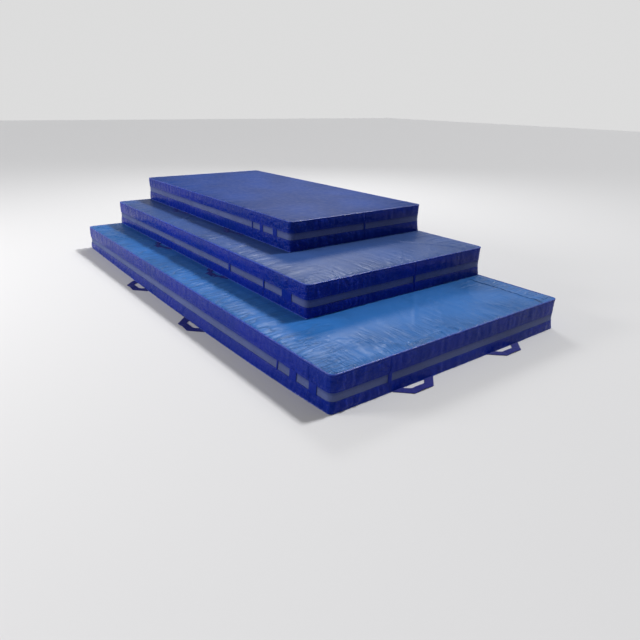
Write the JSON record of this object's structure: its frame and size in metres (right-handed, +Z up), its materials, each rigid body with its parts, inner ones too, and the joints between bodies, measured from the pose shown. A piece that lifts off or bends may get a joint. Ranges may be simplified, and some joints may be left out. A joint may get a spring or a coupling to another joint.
{
  "type": "stacked landing mat set",
  "caption": "Set of stepped gymnastics landing mats in stock sizes: zipped vinyl covers with a mesh vent band and webbing handles over layered foam.",
  "frame": {"origin": "on the floor under the middle of the bottom mat", "axes": "+X along the length towards the stepped right end, +Y across the width towards the flush back, +Z up"},
  "size_m": [3.8316, 2.0228, 0.6096],
  "materials": {
    "foam": "matte",
    "bottom_top_vinyl": "satin",
    "middle_top_vinyl": "satin",
    "top_top_vinyl": "satin",
    "wall_vinyl": "gloss",
    "base_vinyl": "matte",
    "vent_mesh": "matte",
    "piping": "gloss",
    "zip_tape": "matte",
    "zip_teeth": "satin",
    "zip_metal": "satin",
    "webbing": "satin"
  },
  "bodies": {
    "bottom_mat": {"bottom_foam_lower": "foam", "bottom_foam_upper": "foam", "bottom_top_panel": "bottom_top_vinyl", "bottom_base_panel": "base_vinyl", "bottom_upper_wall": "wall_vinyl", "bottom_lower_wall": "wall_vinyl", "bottom_vent_band": "vent_mesh", "bottom_band_ties": "wall_vinyl", "bottom_top_piping": "piping", "bottom_bottom_piping": "piping", "bottom_zip_tape": "zip_tape", "bottom_zip_chain": "zip_teeth", "bottom_handle_tabs": "webbing"},
    "middle_mat": {"middle_foam_lower": "foam", "middle_foam_upper": "foam", "middle_top_panel": "middle_top_vinyl", "middle_base_panel": "base_vinyl", "middle_upper_wall": "wall_vinyl", "middle_lower_wall": "wall_vinyl", "middle_vent_band": "vent_mesh", "middle_band_ties": "wall_vinyl", "middle_top_piping": "piping", "middle_bottom_piping": "piping", "middle_zip_tape": "zip_tape", "middle_zip_chain": "zip_teeth"},
    "top_mat": {"top_foam_lower": "foam", "top_foam_upper": "foam", "top_top_panel": "top_top_vinyl", "top_base_panel": "base_vinyl", "top_upper_wall": "wall_vinyl", "top_lower_wall": "wall_vinyl", "top_vent_band": "vent_mesh", "top_band_ties": "wall_vinyl", "top_top_piping": "piping", "top_bottom_piping": "piping", "top_zip_tape": "zip_tape", "top_zip_chain": "zip_teeth"},
    "bottom_zip_slider": {"bottom_zip_slider": "zip_metal"},
    "bottom_zip_pull": {"bottom_zip_pull": "zip_metal"},
    "middle_zip_slider": {"middle_zip_slider": "zip_metal"},
    "middle_zip_pull": {"middle_zip_pull": "zip_metal"},
    "top_zip_slider": {"top_zip_slider": "zip_metal"},
    "top_zip_pull": {"top_zip_pull": "zip_metal"},
    "bottom_handle_front_a": {"bottom_handle_front_a": "webbing"},
    "bottom_handle_front_b": {"bottom_handle_front_b": "webbing"},
    "bottom_handle_right_a": {"bottom_handle_right_a": "webbing"},
    "bottom_handle_right_b": {"bottom_handle_right_b": "webbing"},
    "bottom_handle_back_a": {"bottom_handle_back_a": "webbing"},
    "bottom_handle_back_b": {"bottom_handle_back_b": "webbing"},
    "bottom_handle_left_a": {"bottom_handle_left_a": "webbing"},
    "bottom_handle_left_b": {"bottom_handle_left_b": "webbing"},
    "middle_handle_front_a": {"middle_handle_front_a": "webbing"},
    "middle_handle_front_b": {"middle_handle_front_b": "webbing"},
    "middle_handle_back_a": {"middle_handle_back_a": "webbing"},
    "middle_handle_back_b": {"middle_handle_back_b": "webbing"},
    "top_handle_front_a": {"top_handle_front_a": "webbing"},
    "top_handle_front_b": {"top_handle_front_b": "webbing"},
    "top_handle_back_a": {"top_handle_back_a": "webbing"},
    "top_handle_back_b": {"top_handle_back_b": "webbing"}
  },
  "joints": [
    {"name": "middle_mat_lift", "type": "slide", "parent": "bottom_mat", "child": "middle_mat", "axis": [0, 0, 1], "range_m": [0, 0.35]},
    {"name": "top_mat_lift", "type": "slide", "parent": "middle_mat", "child": "top_mat", "axis": [0, 0, 1], "range_m": [0, 0.35]},
    {"name": "bottom_zip_slide", "type": "slide", "parent": "bottom_mat", "child": "bottom_zip_slider", "axis": [-1, 0, 0], "range_m": [0, 3.0256]},
    {"name": "bottom_zip_pull_turn", "type": "hinge", "parent": "bottom_zip_slider", "child": "bottom_zip_pull", "pos_m": [1.5128, 0.9186, 0.044], "axis": [0, 0, -1], "range_deg": [0, 180]},
    {"name": "middle_zip_slide", "type": "slide", "parent": "middle_mat", "child": "middle_zip_slider", "axis": [-1, 0, 0], "range_m": [0, 2.416]},
    {"name": "middle_zip_pull_turn", "type": "hinge", "parent": "middle_zip_slider", "child": "middle_zip_pull", "pos_m": [0.9032, 0.9186, 0.2512], "axis": [0, 0, -1], "range_deg": [0, 180]},
    {"name": "top_zip_slide", "type": "slide", "parent": "top_mat", "child": "top_zip_slider", "axis": [-1, 0, 0], "range_m": [0, 1.8064]},
    {"name": "top_zip_pull_turn", "type": "hinge", "parent": "top_zip_slider", "child": "top_zip_pull", "pos_m": [0.2936, 0.9186, 0.4684], "axis": [0, 0, -1], "range_deg": [0, 180]},
    {"name": "bottom_handle_front_a_turn", "type": "hinge", "parent": "bottom_mat", "child": "bottom_handle_front_a", "pos_m": [-0.47, -0.9554, 0.0018], "axis": [-1, 0, 0], "range_deg": [0, 80]},
    {"name": "bottom_handle_front_b_turn", "type": "hinge", "parent": "bottom_mat", "child": "bottom_handle_front_b", "pos_m": [0.47, -0.9554, 0.0018], "axis": [-1, 0, 0], "range_deg": [0, 80]},
    {"name": "bottom_handle_right_a_turn", "type": "hinge", "parent": "bottom_mat", "child": "bottom_handle_right_a", "pos_m": [1.8408, -0.378, 0.0018], "axis": [0, -1, 0], "range_deg": [0, 80]},
    {"name": "bottom_handle_right_b_turn", "type": "hinge", "parent": "bottom_mat", "child": "bottom_handle_right_b", "pos_m": [1.8408, 0.378, 0.0018], "axis": [0, -1, 0], "range_deg": [0, 80]},
    {"name": "bottom_handle_back_a_turn", "type": "hinge", "parent": "bottom_mat", "child": "bottom_handle_back_a", "pos_m": [0.47, 0.9174, 0.0018], "axis": [1, 0, 0], "range_deg": [0, 80]},
    {"name": "bottom_handle_back_b_turn", "type": "hinge", "parent": "bottom_mat", "child": "bottom_handle_back_b", "pos_m": [-0.47, 0.9174, 0.0018], "axis": [1, 0, 0], "range_deg": [0, 80]},
    {"name": "bottom_handle_left_a_turn", "type": "hinge", "parent": "bottom_mat", "child": "bottom_handle_left_a", "pos_m": [-1.8408, 0.378, 0.0018], "axis": [0, 1, 0], "range_deg": [0, 80]},
    {"name": "bottom_handle_left_b_turn", "type": "hinge", "parent": "bottom_mat", "child": "bottom_handle_left_b", "pos_m": [-1.8408, -0.378, 0.0018], "axis": [0, 1, 0], "range_deg": [0, 80]},
    {"name": "middle_handle_front_a_turn", "type": "hinge", "parent": "middle_mat", "child": "middle_handle_front_a", "pos_m": [-0.7748, -0.6126, 0.205], "axis": [-1, 0, 0], "range_deg": [0, 80]},
    {"name": "middle_handle_front_b_turn", "type": "hinge", "parent": "middle_mat", "child": "middle_handle_front_b", "pos_m": [0.1652, -0.6126, 0.205], "axis": [-1, 0, 0], "range_deg": [0, 80]},
    {"name": "middle_handle_back_a_turn", "type": "hinge", "parent": "middle_mat", "child": "middle_handle_back_a", "pos_m": [0.1652, 0.9174, 0.205], "axis": [1, 0, 0], "range_deg": [0, 165]},
    {"name": "middle_handle_back_b_turn", "type": "hinge", "parent": "middle_mat", "child": "middle_handle_back_b", "pos_m": [-0.7748, 0.9174, 0.205], "axis": [1, 0, 0], "range_deg": [0, 165]},
    {"name": "top_handle_front_a_turn", "type": "hinge", "parent": "top_mat", "child": "top_handle_front_a", "pos_m": [-1.0796, -0.3078, 0.4082], "axis": [-1, 0, 0], "range_deg": [0, 80]},
    {"name": "top_handle_front_b_turn", "type": "hinge", "parent": "top_mat", "child": "top_handle_front_b", "pos_m": [-0.1396, -0.3078, 0.4082], "axis": [-1, 0, 0], "range_deg": [0, 80]},
    {"name": "top_handle_back_a_turn", "type": "hinge", "parent": "top_mat", "child": "top_handle_back_a", "pos_m": [-0.1396, 0.9174, 0.4082], "axis": [1, 0, 0], "range_deg": [0, 165]},
    {"name": "top_handle_back_b_turn", "type": "hinge", "parent": "top_mat", "child": "top_handle_back_b", "pos_m": [-1.0796, 0.9174, 0.4082], "axis": [1, 0, 0], "range_deg": [0, 165]}
  ]
}
